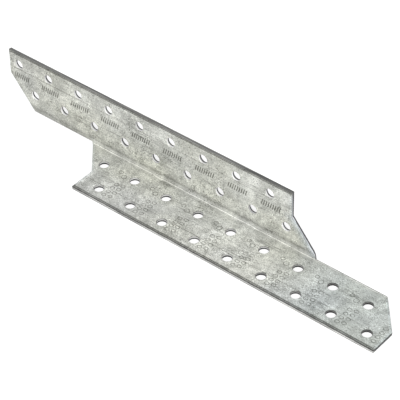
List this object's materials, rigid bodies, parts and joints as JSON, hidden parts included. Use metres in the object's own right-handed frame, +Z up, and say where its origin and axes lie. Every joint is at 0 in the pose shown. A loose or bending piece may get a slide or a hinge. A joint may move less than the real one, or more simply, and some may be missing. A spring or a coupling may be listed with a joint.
{
  "type": "rafter connector",
  "caption": "Galvanised steel angle whose two flanges are offset along the fold, with slanted ends and staggered nail hole rows, for tying a rafter to a purlin.",
  "frame": {"origin": "middle of the bounding box, on the ground that the lying flange rests on", "axes": "+X along the fold, towards the end where the lying flange reaches furthest; +Y out of the standing flange's outside face; +Z up, along the standing flange"},
  "size_m": [0.25, 0.034, 0.034],
  "materials": {
    "galvanised_steel": "hot-dip galvanised strip with a fine mottled zinc spangle, cut edges sheared"
  },
  "bodies": {
    "root": {"rafter_connector": "galvanised_steel"}
  },
  "joints": []
}
